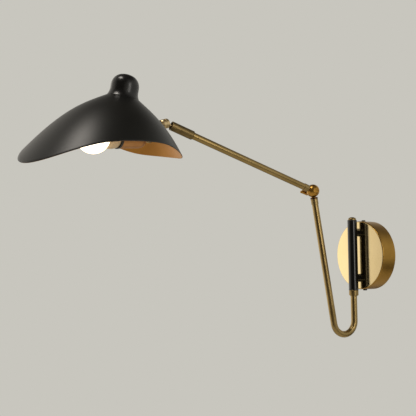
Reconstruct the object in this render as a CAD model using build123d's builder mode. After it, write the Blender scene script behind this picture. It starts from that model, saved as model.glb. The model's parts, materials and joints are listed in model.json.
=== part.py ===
import os
from math import atan, cos, radians, sin, sqrt, tan

from build123d import *

# A wall lamp on a jointed arm. Millimetres, +Z up. The wall is the plane Y = 0, the lamp stands out
# towards -Y, and the origin is the middle of the canopy's back.

# Play between pieces
slip_gap = 0.05  # radial, pieces of one body that slide or screw into one another
turn_gap = 0.05  # radial, shafts that turn in a bore
ball_gap = 0.2  # radial, the ball in its socket
end_gap = 0.1  # along the axis, faces that turn on each other
bolt_gap = 0.25  # radial, screws through clearance holes
shell_gap = 0.3  # bent lugs inside the canopy
rivet_play = 0.6  # radial, the riveted end of the ball's neck inside the tube

# Screwdriver slots, and the sweep of a quarter arc in degrees
slot_width = 0.8
slot_depth = 1
quarter_turn = 90

# Canopy and wall plate
canopy_radius = 60
canopy_depth = 27.5
canopy_wall = 1.5
canopy_edge_round = 2.2
plate_radius = 50
plate_thickness = 2
lug_width = 16
lug_length = 20
wall_screw_spacing = 70
wall_hole_radius = 2.5
cable_hole_radius = 10
canopy_screw_radius = 2
canopy_screw_length = 8
canopy_screw_height = 15  # from the wall
canopy_screw_head_radius = 3.6
canopy_screw_head_height = 2.2
canopy_screw_head_round = 1.5

# Terminal block and earth screw on the wall plate
block_width = 34
block_height = 12
block_depth = 14
block_offset = 22
block_poles = 3
block_pole_pitch = 10
block_screw_radius = 1.5
block_screw_length = 5
block_wire_radius = 1.8
earth_screw_radius = 2
earth_head_radius = 4
earth_head_height = 2
earth_screw_offset = 22

# Standoffs that carry the bearing tube
standoff_reach = 13.5  # from the canopy's face to the spindle's axis
standoff_pitch = 80
standoff_radius = 7
nipple_radius = 5
nipple_bore_radius = 3
nipple_length = 14
inner_washer_radius = 9
inner_washer_thickness = 1.2
inner_nut_flats = 14
inner_nut_thickness = 4

# Bearing tube and its bushes
bearing_radius = 8.2
bearing_bore_radius = 7
bearing_length = 120
bush_length = 10
bush_flange = 1
thrust_washer_thickness = 0.6
thrust_washer_radius = 7.6

# Tubes of the arm
tube_radius = 5.5
tube_wall = 1
spindle_drop = 53.5  # straight tube below the bearing, down to the bend
bend_radius = 22.5
riser_lean = 10  # degrees that the riser leans away from the wall
riser_length = 230  # from the end of the bend to the middle of the elbow
wire_window_height = 7

# Cap and collar of the spindle
cap_radius = 6.8
cap_skirt = 1.3
cap_dome = 4
cap_plug_length = 8
collar_radius = 8.1
collar_height = 9
collar_neck_radius = 6.3
collar_neck_height = 1.4
collar_round = 0.6
grub_radius = 1.25

# Elbow
elbow_radius = 11
elbow_disc_thickness = 0.8
elbow_disc_radius = 9.5
elbow_clearance = 0.4  # from the ball to the rings beside it
elbow_ring_radius = 6.3
elbow_ring_length = 2.6
ferrule_radius = 6.15
ferrule_length = 9.5
ferrule_round = 0.4
arm_ferrule_length = 6
plug_length = 14
pivot_radius = 2.5
pivot_head_radius = 4.2
pivot_head_height = 2.6
pivot_head_sink = 0.3
nut_seat = 8  # from the middle of the elbow to the flat under the wing nut
nut_washer_radius = 7.2
nut_washer_thickness = 1.2
wing_hub_radius = 7.8
wing_hub_top_radius = 4.6
wing_hub_height = 7
wing_span = 29
wing_foot = 1  # from the hub's ends to the blades
wing_lean = 3.5  # how far the tips lean outwards
wing_tip_width = 6
wing_tip_round = 1.5
wing_thickness = 3
wing_root_thickness = 11
wing_turn = 4  # degrees
pivot_screw_stub = 1.5

# Upper arm
arm_slope = 17.785  # degrees above level
sleeve_length = 38.35
sleeve_setback = 8  # from the sleeve's mouth to the middle of the ball
sleeve_mouth_depth = 10.35  # from the sleeve's mouth to the end of the arm's tube
sleeve_radius = 7.1
sleeve_mouth_radius = 6.2
sleeve_round = 0.5
sleeve_screw_setback = 10  # from the sleeve's rear end
bush_plug_length = 10
bush_collar_thickness = 2

# Ball joint
ball_reach = 286.35  # from the middle of the elbow to the middle of the ball
ball_radius = 5.25
ball_neck_radius = 2.4
ball_collar_radius = 3.6
ball_collar_thickness = 1.2
rivet_thickness = 2.4
ball_roll = 23.9  # degrees about the arm
socket_tilt = 37.025  # degrees between the arm and the stud
socket_lip = 1.36  # how far the retaining ring reaches past the middle of the ball
socket_radius = 7
socket_thread_radius = 6.5
socket_ring_radius = 7.4
socket_ring_length = 3.2
socket_cup_length = 9
socket_cone_length = 2.9
socket_cone_radius = 5
stud_radius = 3
stud_end = 44.5  # from the middle of the ball
ring_round = 0.4

# Shade: a spun dome, cut to an oval rim that rises at the sides
shade_pan = -35.26  # degrees about the stud
stud_slope = 20  # degrees that the stud points down in the shade
stud_run = 27  # from the middle of the ball to the shade's outer face
shade_wall = 1.2

# The dome's outer line: radius from its axis, drop below its apex
crown_radius = 20
crown_drop = 1.25
shoulder_pitch = 0.62
shoulder_radius = 40
shoulder_drop = 13.9
stud_entry_radius = 61
stud_entry_drop = 29.5
waist_radius = 96
waist_drop = 67.1
flank_radius = 120
flank_drop = 100.8
skirt_radius = 145
skirt_drop = 138.9
skirt_pitch = 1.53
dome_stations = 8  # points that carry the outer line over to the inner one

# The rim seen from the side: distance behind or ahead of the dome's axis, drop below its apex
rear_edge = 98
rear_edge_drop = 69.7
rear_edge_pitch = 0.11
rear_dip = 90
rear_dip_drop = 70.6
heel = 65
heel_drop = 67.8
arch = 25
arch_drop = 61.6
cheek = 20
cheek_drop = 65.3
jaw = 75
jaw_drop = 80.2
lip = 110
lip_drop = 101.8
front_edge = 133
front_edge_drop = 120.5
front_edge_pitch = 0.87

# Cap on top of the shade
top_cap_radius = 20
top_cap_height = 12.25
top_cap_dome = 20
top_cap_wall = 1.2
top_cap_foot = 1.6
top_cap_foot_height = 2.4
top_stud_radius = 2
top_stud_tail = 2
top_nut_flats = 7
top_nut_thickness = 3.2

# Stud's fastening inside the shade
boss_radius = 6.5
spacer_radius = 7.5
spacer_end = 36  # from the middle of the ball
bracket_thickness = 1.5
bracket_width = 16
bracket_bend_drop = 9
bracket_top = 7
bracket_foot = 8
stud_washer_radius = 6
stud_washer_thickness = 0.8
stud_nut_flats = 10
stud_nut_thickness = 5

# Lampholder, along the bulb's axis from its front ring
bulb_slope = 11.3  # degrees that the bulb points down in the shade
holder_front_ahead = -0.2  # from the dome's axis, forwards
holder_front_drop = 59.4
holder_length = 48
holder_cap_length = 15
holder_cap_top_radius = 7.5
holder_cap_shoulder = 11
holder_wall = 2
holder_radius = 16
holder_ring_radius = 17
holder_ring_length = 3
holder_ring_lip = 1
holder_floor = 3
holder_thread_depth = 6
holder_nipple_tail = 1.5
holder_nut_flats = 13
holder_nut_thickness = 3
terminal_hole_offset = 9
terminal_hole_radius = 1.5
contact_radius = 4

# Bulb, along the same axis
bulb_play = 0.4  # radial, the screw cap in the holder
bulb_cap_radius = 13.2
bulb_cap_length = 26.5
bulb_contact_radius = 5
bulb_contact_thickness = 1.2
housing_start = 0.2
housing_start_radius = 14.4
housing_shoulder = 5
housing_end = 21
globe_radius = 23.75
globe_wall = 1
globe_ahead = 38  # from the front ring to the middle of the globe

os.makedirs("parts", exist_ok=True)


def keep(piece, label):
    piece.label = label
    export_step(piece, f"parts/{label}.step")


def axis_of(side):
    """The line that a side plane's local X runs along."""
    return Axis(side.origin, side.x_dir)


def across(side, distance):
    """The plane square to a side plane's axis, this far along it."""
    return Plane(origin=side.origin + side.x_dir * distance, x_dir=side.z_dir, z_dir=side.x_dir)


def section(start, end, inner, outer):
    """A band of a turned piece's half section: along the axis from start to end, between two radii."""
    with Locations(((start + end) / 2, (inner + outer) / 2)):
        Rectangle(end - start, outer - inner)


def ring(side, start, end, inner, outer):
    """A plain ring or disc on a side plane's axis."""
    with BuildPart() as turned:
        with BuildSketch(side):
            section(start, end, inner, outer)
        revolve(axis=axis_of(side))
    return turned.part


def hex_nut(side, start, thickness, flats, bore):
    with BuildPart() as nut:
        with BuildSketch(across(side, start)):
            RegularPolygon(flats / 2, 6, major_radius=False)
            Circle(bore, mode=Mode.SUBTRACT)
        extrude(amount=thickness)
    return nut.part


# Places and directions
right = Vector(1, 0, 0)
tube_bore_radius = tube_radius - tube_wall
plug_radius = tube_bore_radius - slip_gap
spindle_reach = canopy_depth + standoff_reach
bearing_end = bearing_length / 2
tube_top = bearing_end + bush_flange + thrust_washer_thickness + end_gap
bend_height = -bearing_end - spindle_drop

spindle_side = Plane(origin=(0, -spindle_reach, 0), x_dir=(0, 0, 1), z_dir=(1, 0, 0))

riser_dir = Vector(0, -sin(radians(riser_lean)), cos(radians(riser_lean)))
bend_end = Vector(
    0,
    -spindle_reach - bend_radius * (1 + cos(radians(riser_lean))),
    bend_height - bend_radius * sin(radians(riser_lean)),
)
elbow_centre = bend_end + riser_dir * riser_length
riser_side = Plane(origin=elbow_centre, x_dir=riser_dir * -1, z_dir=right)
pivot_side = Plane(origin=elbow_centre, x_dir=right * -1, z_dir=(0, 0, 1))

arm_dir = Vector(0, -cos(radians(arm_slope)), sin(radians(arm_slope)))
arm_side = Plane(origin=elbow_centre, x_dir=arm_dir, z_dir=right)
ball_centre = elbow_centre + arm_dir * ball_reach
sleeve_end = ball_reach - sleeve_setback
sleeve_start = sleeve_end - sleeve_length
arm_tube_end = sleeve_end - sleeve_mouth_depth

# The shade hangs on the stud. It is set out in the lamp's own plane, then panned and rolled into place.
level_stud = arm_dir.rotate(Axis.X, socket_tilt)


def posed(direction):
    panned = direction.rotate(Axis((0, 0, 0), level_stud), shade_pan)
    return panned.rotate(Axis((0, 0, 0), arm_dir), ball_roll)


stud_dir = posed(level_stud)
shade_front = posed(level_stud.rotate(Axis.X, -stud_slope))
shade_left = posed(right)
shade_up = shade_front.cross(shade_left)
stud_side = Plane(origin=ball_centre, x_dir=stud_dir, z_dir=shade_left * -1)

ball_ahead = -stud_entry_radius - stud_run * cos(radians(stud_slope))
ball_above = -stud_entry_drop + stud_run * sin(radians(stud_slope))
shade_origin = ball_centre - shade_front * ball_ahead - shade_up * ball_above
shade_side = Plane(origin=shade_origin, x_dir=shade_front, z_dir=shade_left * -1)
crown_side = Plane(origin=shade_origin, x_dir=shade_up, z_dir=shade_left)

holder_front = shade_origin + shade_front * holder_front_ahead - shade_up * holder_front_drop
bulb_dir = shade_front * cos(radians(bulb_slope)) - shade_up * sin(radians(bulb_slope))
bulb_side = Plane(origin=holder_front, x_dir=bulb_dir, z_dir=shade_left * -1)

# ---- Wall plate: a stamped steel disc with two bent lugs that the canopy's screws go into
lug_radius = canopy_radius - canopy_wall - shell_gap
with BuildPart() as wall_plate:
    with BuildSketch(Plane.XZ):
        Circle(plate_radius)
        Rectangle(lug_width, 2 * lug_radius)
        Circle(lug_radius, mode=Mode.INTERSECT)
        Circle(cable_hole_radius, mode=Mode.SUBTRACT)
        with GridLocations(wall_screw_spacing, 0, 2, 1):
            Circle(wall_hole_radius, mode=Mode.SUBTRACT)
        with Locations((earth_screw_offset, -earth_screw_offset)):
            Circle(earth_screw_radius + slip_gap, mode=Mode.SUBTRACT)
    extrude(amount=plate_thickness)
    with BuildSketch(Plane.XZ):
        Rectangle(lug_width, 2 * lug_radius)
        Circle(lug_radius, mode=Mode.INTERSECT)
        Circle(lug_radius - plate_thickness, mode=Mode.SUBTRACT)
    extrude(amount=lug_length)
    with BuildSketch(Plane.XY):
        with Locations((0, -canopy_screw_height)):
            Circle(canopy_screw_radius + slip_gap)
    extrude(amount=canopy_radius, both=True, mode=Mode.SUBTRACT)
keep(wall_plate.part, "wall_plate")

# ---- Canopy: a spun brass cup, its face drilled for the standoffs and its rim for two screws
with BuildPart() as canopy:
    with BuildSketch(Plane.XZ):
        Circle(canopy_radius)
    extrude(amount=canopy_depth)
    fillet(canopy.edges().sort_by(Axis.Y)[0], canopy_edge_round)
    offset(amount=-canopy_wall, openings=canopy.faces().sort_by(Axis.Y)[-1])
    with BuildSketch(Plane.XZ):
        with GridLocations(0, standoff_pitch, 1, 2):
            Circle(nipple_radius + slip_gap)
    extrude(amount=canopy_depth, mode=Mode.SUBTRACT)
    with BuildSketch(Plane.XY):
        with Locations((0, -canopy_screw_height)):
            Circle(canopy_screw_radius + bolt_gap)
    extrude(amount=canopy_radius, both=True, mode=Mode.SUBTRACT)
keep(canopy.part, "canopy")

with BuildPart() as canopy_screws:
    for way in (1, -1):
        seat = Vector(0, -canopy_screw_height, way * canopy_radius)
        screw_side = Plane(origin=seat, x_dir=(0, 0, way), z_dir=right)
        with BuildSketch(screw_side) as screw_section:
            section(-canopy_screw_length, 0, 0, canopy_screw_radius)
            section(0, canopy_screw_head_height, 0, canopy_screw_head_radius)
            crown_corner = screw_section.vertices().group_by(Axis.X)[-1].sort_by(Axis.Y)[-1]
            fillet(crown_corner, canopy_screw_head_round)
        revolve(axis=axis_of(screw_side))
        with BuildSketch(across(screw_side, canopy_screw_head_height - slot_depth)):
            Rectangle(slot_width, 2 * canopy_screw_head_radius)
        extrude(amount=slot_depth, mode=Mode.SUBTRACT)
keep(canopy_screws.part, "canopy_screws")

# ---- Terminal block and earth screw
with BuildPart() as terminal_block:
    with BuildSketch(Plane.XZ.offset(plate_thickness)):
        with Locations((0, block_offset)):
            Rectangle(block_width, block_height)
    extrude(amount=block_depth)
    pole_planes = Plane.XZ.offset(plate_thickness + block_depth)
    with BuildSketch(pole_planes):
        with Locations((0, block_offset)):
            with GridLocations(block_pole_pitch, 0, block_poles, 1):
                Circle(block_screw_radius + slip_gap)
    extrude(amount=-block_screw_length - slip_gap, mode=Mode.SUBTRACT)
    with BuildSketch(Plane.XY.offset(block_offset)):
        with Locations((0, -plate_thickness - block_depth / 2)):
            with GridLocations(block_pole_pitch, 0, block_poles, 1):
                Circle(block_wire_radius)
    extrude(amount=block_height, both=True, mode=Mode.SUBTRACT)
keep(terminal_block.part, "terminal_block")

with BuildPart() as terminal_screws:
    with BuildSketch(pole_planes):
        with Locations((0, block_offset)):
            with GridLocations(block_pole_pitch, 0, block_poles, 1):
                Circle(block_screw_radius)
    extrude(amount=-block_screw_length)
    with BuildSketch(pole_planes):
        with Locations((0, block_offset)):
            with GridLocations(block_pole_pitch, 0, block_poles, 1):
                Rectangle(slot_width, 2 * block_screw_radius)
    extrude(amount=-slot_depth, mode=Mode.SUBTRACT)
keep(terminal_screws.part, "terminal_screws")

with BuildPart() as earth_screw:
    with BuildSketch(Plane.XZ.offset(plate_thickness)):
        with Locations((earth_screw_offset, -earth_screw_offset)):
            Circle(earth_head_radius)
    extrude(amount=earth_head_height)
    with BuildSketch(Plane.XZ):
        with Locations((earth_screw_offset, -earth_screw_offset)):
            Circle(earth_screw_radius)
    extrude(amount=plate_thickness)
    with BuildSketch(Plane.XZ.offset(plate_thickness + earth_head_height)):
        with Locations((earth_screw_offset, -earth_screw_offset)):
            Rectangle(2 * earth_head_radius, slot_width)
    extrude(amount=-slot_depth, mode=Mode.SUBTRACT)
keep(earth_screw.part, "earth_screw")


# ---- Standoffs: black stubs with a hollow threaded nipple, saddled to the bearing tube
def standoff(height):
    foot = Plane(origin=(0, -canopy_depth, height), x_dir=(1, 0, 0), z_dir=(0, -1, 0))
    with BuildPart() as stub:
        with BuildSketch(foot):
            Circle(standoff_radius)
        extrude(amount=standoff_reach)
        with BuildSketch(foot):
            Circle(nipple_radius)
        extrude(amount=-nipple_length)
        with BuildSketch(foot.offset(-nipple_length)):
            Circle(nipple_bore_radius)
        extrude(amount=nipple_length + standoff_reach, mode=Mode.SUBTRACT)
        with BuildSketch(Plane.XY.offset(height)):
            with Locations((0, -spindle_reach)):
                Circle(bearing_radius)
        extrude(amount=standoff_radius + slip_gap, both=True, mode=Mode.SUBTRACT)
    return stub.part


standoff_heights = (standoff_pitch / 2, -standoff_pitch / 2)
keep(standoff(standoff_heights[0]), "upper_standoff")
keep(standoff(standoff_heights[1]), "lower_standoff")

face_inside = canopy_depth - canopy_wall
with BuildPart() as standoff_washers:
    with BuildSketch(Plane.XZ.offset(face_inside - inner_washer_thickness)):
        with GridLocations(0, standoff_pitch, 1, 2):
            Circle(inner_washer_radius)
            Circle(nipple_radius + slip_gap, mode=Mode.SUBTRACT)
    extrude(amount=inner_washer_thickness)
keep(standoff_washers.part, "standoff_washers")

with BuildPart() as standoff_nuts:
    with BuildSketch(Plane.XZ.offset(face_inside - inner_washer_thickness - inner_nut_thickness)):
        with GridLocations(0, standoff_pitch, 1, 2):
            RegularPolygon(inner_nut_flats / 2, 6, major_radius=False)
            Circle(nipple_radius + slip_gap, mode=Mode.SUBTRACT)
    extrude(amount=inner_nut_thickness)
keep(standoff_nuts.part, "standoff_nuts")

# ---- Bearing tube, with a hole for the wires at the lower standoff
with BuildPart() as bearing_tube:
    with BuildSketch(Plane.XY.offset(-bearing_end)):
        with Locations((0, -spindle_reach)):
            Circle(bearing_radius)
            Circle(bearing_bore_radius, mode=Mode.SUBTRACT)
    extrude(amount=bearing_length)
    with BuildSketch(Plane(origin=(0, -spindle_reach, standoff_heights[1]), z_dir=(0, 1, 0))):
        Circle(nipple_bore_radius)
    extrude(amount=bearing_radius, mode=Mode.SUBTRACT)
keep(bearing_tube.part, "bearing_tube")


def spindle_bush(way):
    """A flanged bush in the bearing tube's upper (+1) or lower (-1) end."""
    end_side = Plane(origin=(0, -spindle_reach, way * bearing_end), x_dir=(0, 0, way), z_dir=right)
    shaft_bore = tube_radius + turn_gap
    with BuildPart() as bush:
        with BuildSketch(end_side):
            section(-bush_length, 0, shaft_bore, bearing_bore_radius - slip_gap)
            section(0, bush_flange, shaft_bore, bearing_radius)
        revolve(axis=axis_of(end_side))
    return bush.part


keep(spindle_bush(1), "upper_bush")
keep(spindle_bush(-1), "lower_bush")

washer_start = bearing_end + bush_flange
washer_end = washer_start + thrust_washer_thickness
thrust_washer = ring(spindle_side, washer_start, washer_end, tube_radius + turn_gap, thrust_washer_radius)
keep(thrust_washer, "thrust_washer")

# ---- J tube: down through the bearing, round the bend and up the leaning riser
riser_tube_length = riser_length - elbow_radius - elbow_clearance - elbow_ring_length
with BuildPart() as j_tube:
    with BuildLine(Plane.YZ) as route:
        drop = Line((-spindle_reach, tube_top), (-spindle_reach, bend_height))
        bend = JernArc(drop @ 1, drop % 1, bend_radius, riser_lean - 180)
        Line(bend @ 1, (bend @ 1) + (bend % 1) * riser_tube_length)
    with BuildSketch(Plane.XY.offset(tube_top)):
        with Locations((0, -spindle_reach)):
            Circle(tube_radius)
            Circle(tube_bore_radius, mode=Mode.SUBTRACT)
    sweep(path=route.wires()[0])
    with BuildSketch(Plane.XY.offset(standoff_heights[1])):
        with Locations((0, -spindle_reach + tube_radius)):
            Rectangle(2 * bearing_radius, 2 * tube_radius)
    extrude(amount=wire_window_height / 2, both=True, mode=Mode.SUBTRACT)
keep(j_tube.part, "j_tube")

with BuildPart() as spindle_cap:
    with BuildSketch(spindle_side):
        section(tube_top - cap_plug_length, tube_top, 0, plug_radius)
        section(tube_top, tube_top + cap_skirt, 0, cap_radius)
        with BuildLine():
            cap_middle = (tube_top + cap_skirt, 0)
            cap_arc = EllipticalCenterArc(
                cap_middle, cap_dome, cap_radius, start_angle=0, arc_size=quarter_turn
            )
            Polyline(cap_arc @ 1, cap_middle, cap_arc @ 0)
        make_face()
    revolve(axis=axis_of(spindle_side))
keep(spindle_cap.part, "spindle_cap")

# ---- Collar that keeps the spindle down, with a grub screw on its far side
collar_side = Plane(
    origin=(0, -spindle_reach, -bearing_end - bush_flange - end_gap), x_dir=(0, 0, -1), z_dir=right
)
grub_side = Plane(origin=across(collar_side, collar_height / 2).origin, x_dir=(-1, 0, 0), z_dir=(0, 0, 1))
with BuildPart() as lower_collar:
    with BuildSketch(collar_side) as collar_section:
        section(0, collar_height, tube_radius + slip_gap, collar_radius)
        section(0, collar_height + collar_neck_height, tube_radius + slip_gap, collar_neck_radius)
        fillet(collar_section.vertices().group_by(Axis.Y)[-1], collar_round)
    revolve(axis=axis_of(collar_side))
    with BuildSketch(across(grub_side, 0)):
        Circle(grub_radius + slip_gap)
    extrude(amount=collar_radius, mode=Mode.SUBTRACT)
keep(lower_collar.part, "lower_collar")
collar_screw = ring(grub_side, tube_radius + slip_gap, collar_radius - end_gap, 0, grub_radius)
keep(collar_screw, "collar_screw")

# ---- Elbow: a brass ball in two halves that turn on a cross screw, one half on each tube
neck_start = elbow_radius + elbow_clearance
tube_start = neck_start + elbow_ring_length


def elbow_half(side, way):
    """Half of the elbow's ball, on the +X (1) or -X (-1) side, with its neck along the side plane's axis."""
    with BuildPart() as half:
        with Locations(elbow_centre):
            Sphere(elbow_radius)
        with BuildSketch(side):
            section(0, neck_start, 0, plug_radius)
        revolve(axis=axis_of(side))
        cut = Plane(origin=elbow_centre + right * (way * elbow_disc_thickness / 2), z_dir=right * way)
        split(bisect_by=cut, keep=Keep.TOP)
        with BuildSketch(side):
            section(neck_start, tube_start + plug_length, 0, plug_radius)
        revolve(axis=axis_of(side))
        with BuildSketch(across(pivot_side, 0)):
            Circle(pivot_radius + turn_gap)
        extrude(amount=elbow_radius, both=True, mode=Mode.SUBTRACT)
    return half


with BuildPart() as elbow_lower_half:
    add(elbow_half(riser_side, -1).part)
    with BuildSketch(across(pivot_side, nut_seat)):
        Circle(elbow_radius)
    extrude(amount=elbow_radius, mode=Mode.SUBTRACT)
keep(elbow_lower_half.part, "elbow_lower_half")

head_end = -sqrt(elbow_radius**2 - pivot_head_radius**2) + pivot_head_sink
with BuildPart() as elbow_upper_half:
    add(elbow_half(arm_side, 1).part)
    with BuildSketch(across(pivot_side, head_end + pivot_head_height)):
        Circle(pivot_head_radius + bolt_gap)
    extrude(amount=-elbow_radius, mode=Mode.SUBTRACT)
keep(elbow_upper_half.part, "elbow_upper_half")

disc_half = elbow_disc_thickness / 2 - end_gap
elbow_washer = ring(pivot_side, -disc_half, disc_half, pivot_radius + slip_gap, elbow_disc_radius)
keep(elbow_washer, "elbow_washer")

hub_start = nut_seat + nut_washer_thickness + end_gap
with BuildPart() as pivot_screw:
    with BuildSketch(pivot_side):
        section(head_end, head_end + pivot_head_height - end_gap, 0, pivot_head_radius)
        section(head_end, hub_start + wing_hub_height + pivot_screw_stub, 0, pivot_radius)
    revolve(axis=axis_of(pivot_side))
    with BuildSketch(across(pivot_side, head_end)):
        Rectangle(slot_width, 2 * pivot_head_radius)
    extrude(amount=slot_depth, mode=Mode.SUBTRACT)
keep(pivot_screw.part, "pivot_screw")
nut_washer = ring(
    pivot_side, nut_seat, nut_seat + nut_washer_thickness, pivot_radius + slip_gap, nut_washer_radius
)
keep(nut_washer, "nut_washer")

# ---- Wing nut: a cone hub with two wings that thin and lean outwards to rounded tips
wing_dir = Vector(0, -1, 0).rotate(Axis.X, wing_turn)
hub_base = elbow_centre - right * hub_start
blade_side = Plane(origin=hub_base, x_dir=wing_dir, z_dir=right.cross(wing_dir))
blade_plan = Plane(origin=hub_base, x_dir=wing_dir, z_dir=right * -1)
blade_reach = wing_span / 2
blade_height = wing_lean + wing_tip_width
with BuildPart() as wing_blades:
    with BuildSketch(blade_side) as blade_outline:
        for way in (1, -1):
            with BuildLine():
                Polyline(
                    (0, wing_foot),
                    (way * blade_reach, wing_lean),
                    (way * blade_reach, blade_height),
                    (way * wing_hub_top_radius, wing_hub_height - wing_foot),
                    (0, wing_hub_height - wing_foot),
                    close=True,
                )
            make_face()
        fillet(blade_outline.vertices().sort_by(SortBy.DISTANCE)[-4:], wing_tip_round)
    extrude(amount=wing_root_thickness / 2, both=True)
    with BuildSketch(blade_plan):
        with BuildLine():
            Polyline(
                (blade_reach, wing_thickness / 2),
                (0, wing_root_thickness / 2),
                (-blade_reach, wing_thickness / 2),
                (-blade_reach, -wing_thickness / 2),
                (0, -wing_root_thickness / 2),
                (blade_reach, -wing_thickness / 2),
                close=True,
            )
        make_face()
    extrude(amount=blade_height, mode=Mode.INTERSECT)

hub_end = hub_start + wing_hub_height
with BuildPart() as wing_nut:
    with BuildSketch(pivot_side):
        with BuildLine():
            Polyline(
                (hub_start, 0),
                (hub_start, wing_hub_radius),
                (hub_end, wing_hub_top_radius),
                (hub_end, 0),
                close=True,
            )
        make_face()
    revolve(axis=axis_of(pivot_side))
    add(wing_blades.part)
    with BuildSketch(across(pivot_side, hub_start)):
        Circle(pivot_radius + turn_gap)
    extrude(amount=blade_height, mode=Mode.SUBTRACT)
keep(wing_nut.part, "wing_nut")

# ---- Rings and ferrules where the tubes meet the elbow
elbow_ring = ring(riser_side, neck_start, tube_start, plug_radius + slip_gap, elbow_ring_radius)
keep(elbow_ring, "elbow_ring")

with BuildPart() as elbow_ferrule:
    with BuildSketch(riser_side):
        section(tube_start, tube_start + ferrule_length, tube_radius + slip_gap, ferrule_radius)
    revolve(axis=axis_of(riser_side))
    fillet(elbow_ferrule.edges().filter_by(GeomType.CIRCLE).group_by(SortBy.RADIUS)[-1], ferrule_round)
keep(elbow_ferrule.part, "elbow_ferrule")

with BuildPart() as arm_ferrule:
    with BuildSketch(arm_side):
        section(neck_start, tube_start, plug_radius + slip_gap, ferrule_radius)
        section(tube_start, tube_start + arm_ferrule_length, tube_radius + slip_gap, ferrule_radius)
    revolve(axis=axis_of(arm_side))
    fillet(arm_ferrule.edges().filter_by(GeomType.CIRCLE).group_by(SortBy.RADIUS)[-1], ferrule_round)
keep(arm_ferrule.part, "arm_ferrule")

# ---- Upper arm's tube, its end sleeve with an open mouth, and the bush inside
arm_tube = ring(arm_side, tube_start, arm_tube_end, tube_bore_radius, tube_radius)
keep(arm_tube, "arm_tube")

sleeve_screw_side = Plane(
    origin=across(arm_side, sleeve_start + sleeve_screw_setback).origin,
    x_dir=(-1, 0, 0),
    z_dir=arm_side.y_dir,
)
with BuildPart() as end_sleeve:
    with BuildSketch(arm_side):
        section(sleeve_start, arm_tube_end, tube_radius + slip_gap, sleeve_radius)
        section(arm_tube_end, sleeve_end, sleeve_mouth_radius, sleeve_radius)
    revolve(axis=axis_of(arm_side))
    fillet(end_sleeve.edges().filter_by(GeomType.CIRCLE).group_by(SortBy.RADIUS)[-1], sleeve_round)
    with BuildSketch(across(sleeve_screw_side, 0)):
        Circle(grub_radius + slip_gap)
    extrude(amount=sleeve_radius, mode=Mode.SUBTRACT)
keep(end_sleeve.part, "end_sleeve")
sleeve_screw = ring(sleeve_screw_side, tube_radius + slip_gap, sleeve_radius - end_gap, 0, grub_radius)
keep(sleeve_screw, "sleeve_screw")

bush_front = arm_tube_end + bush_collar_thickness
neck_bore_radius = ball_neck_radius + turn_gap
with BuildPart() as swivel_bush:
    with BuildSketch(arm_side):
        section(arm_tube_end - bush_plug_length, arm_tube_end, neck_bore_radius, plug_radius)
        section(arm_tube_end, bush_front, neck_bore_radius, sleeve_mouth_radius - slip_gap)
    revolve(axis=axis_of(arm_side))
keep(swivel_bush.part, "swivel_bush")

# ---- Ball on a necked stud, riveted over behind the bush
collar_front = bush_front + end_gap + ball_collar_thickness
rivet_front = arm_tube_end - bush_plug_length - end_gap
with BuildPart() as ball_stud:
    with BuildSketch(arm_side):
        section(rivet_front - rivet_thickness, rivet_front, 0, plug_radius - rivet_play)
        section(rivet_front, ball_reach, 0, ball_neck_radius)
        section(bush_front + end_gap, collar_front, 0, ball_collar_radius)
    revolve(axis=axis_of(arm_side))
    with Locations(ball_centre):
        Sphere(ball_radius)
keep(ball_stud.part, "ball_stud")

# ---- Socket: a cup on a threaded stud, and the ring that holds the ball in it
pocket_radius = ball_radius + ball_gap
with BuildPart() as ball_socket:
    with BuildSketch(stud_side):
        section(0, socket_ring_length, 0, socket_thread_radius)
        section(socket_ring_length, socket_cup_length, 0, socket_radius)
        with BuildLine():
            cone_end = socket_cup_length + socket_cone_length
            Polyline(
                (socket_cup_length, 0),
                (socket_cup_length, socket_radius),
                (cone_end, socket_cone_radius),
                (cone_end, 0),
                close=True,
            )
        make_face()
        section(cone_end, stud_end, 0, stud_radius)
    revolve(axis=axis_of(stud_side))
    with Locations(ball_centre):
        Sphere(pocket_radius, mode=Mode.SUBTRACT)
keep(ball_socket.part, "ball_socket")

with BuildPart() as socket_ring:
    with BuildSketch(stud_side):
        section(-socket_lip, 0, 0, socket_ring_radius)
        section(0, socket_ring_length, socket_thread_radius + slip_gap, socket_ring_radius)
    revolve(axis=axis_of(stud_side))
    fillet(socket_ring.edges().filter_by(GeomType.CIRCLE).group_by(SortBy.RADIUS)[-1], ring_round)
    with Locations(ball_centre):
        Sphere(pocket_radius, mode=Mode.SUBTRACT)
keep(socket_ring.part, "socket_ring")


# ---- Shade: spun from one disc, then its rim is cut to a saddle that dips at the front and rear
dome_axis = Axis(shade_origin, shade_up)


def dome(inset):
    """The solid dome above the skirt, this far inside the spun shell's outer face."""
    outer = Spline(
        (crown_radius, -crown_drop),
        (shoulder_radius, -shoulder_drop),
        (stud_entry_radius, -stud_entry_drop),
        (waist_radius, -waist_drop),
        (flank_radius, -flank_drop),
        (skirt_radius, -skirt_drop),
        tangents=((1, -shoulder_pitch), (1, -skirt_pitch)),
    )
    mitre = inset * tan(atan(shoulder_pitch) / 2)
    crown_edge = (crown_radius - mitre, -crown_drop - inset)
    stations = [station / dome_stations for station in range(1, dome_stations + 1)]
    flanks = [(outer @ t) + (outer % t).rotate(Axis.Z, -90) * inset for t in stations]
    with BuildPart() as spun:
        with BuildSketch(shade_side):
            with BuildLine():
                flank = Spline(crown_edge, *flanks, tangents=((1, -shoulder_pitch), (1, -skirt_pitch)))
                Polyline(flank @ 1, (0, (flank @ 1).Y), (0, crown_edge[1]), crown_edge)
            make_face()
        revolve(axis=dome_axis)
    return spun.part


dome_solid = dome(0)
dome_inside = dome(shade_wall)

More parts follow.
